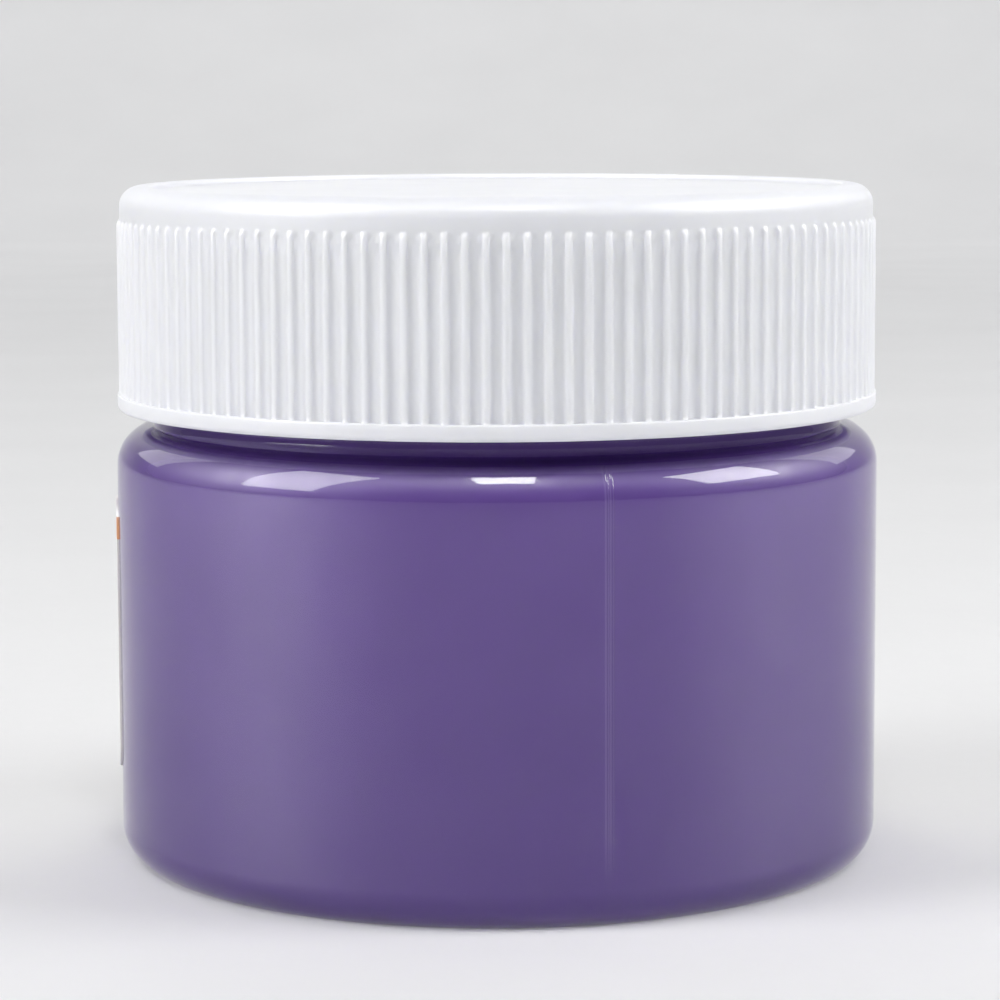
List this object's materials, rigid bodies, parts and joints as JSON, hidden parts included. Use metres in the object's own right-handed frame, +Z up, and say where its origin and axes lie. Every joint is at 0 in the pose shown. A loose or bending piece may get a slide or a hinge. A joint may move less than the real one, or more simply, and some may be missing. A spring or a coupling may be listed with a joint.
{
  "type": "paint jar",
  "caption": "Small wide-mouth clear jar of purple paint with a wrap label and a ribbed white screw lid over a foam liner.",
  "frame": {"origin": "centre of the base, on the surface that the jar stands on", "axes": "+Z up the jar's axis towards the lid; -Y faces the plain front and the label is centred about the +Y side"},
  "size_m": [0.0554, 0.0553, 0.049],
  "materials": {
    "clear_plastic": "clear, glossy, blown",
    "paint": "opaque liquid paint, wet gloss",
    "label_paper": "coated, satin",
    "foam": "fine closed-cell foam",
    "white_plastic": "moulded, satin gloss"
  },
  "bodies": {
    "jar_body": {"jar": "clear_plastic", "paint": "paint", "label": "label_paper"},
    "liner_body": {"liner": "foam"},
    "lid_body": {"lid": "white_plastic"}
  },
  "joints": [
    {"name": "lid_lift", "type": "slide", "parent": "jar_body", "child": "liner_body", "axis": [0, 0, 1], "range_m": [0, 0.0148]},
    {"name": "lid_turn", "type": "hinge", "parent": "liner_body", "child": "lid_body", "pos_m": [0, 0, 0.041], "axis": [0, 0, 1], "range_deg": [0, 1260]}
  ],
  "couplings": [
    {"joint": "lid_turn", "follows": "lid_lift", "rad_per_m": 1484.3}
  ]
}
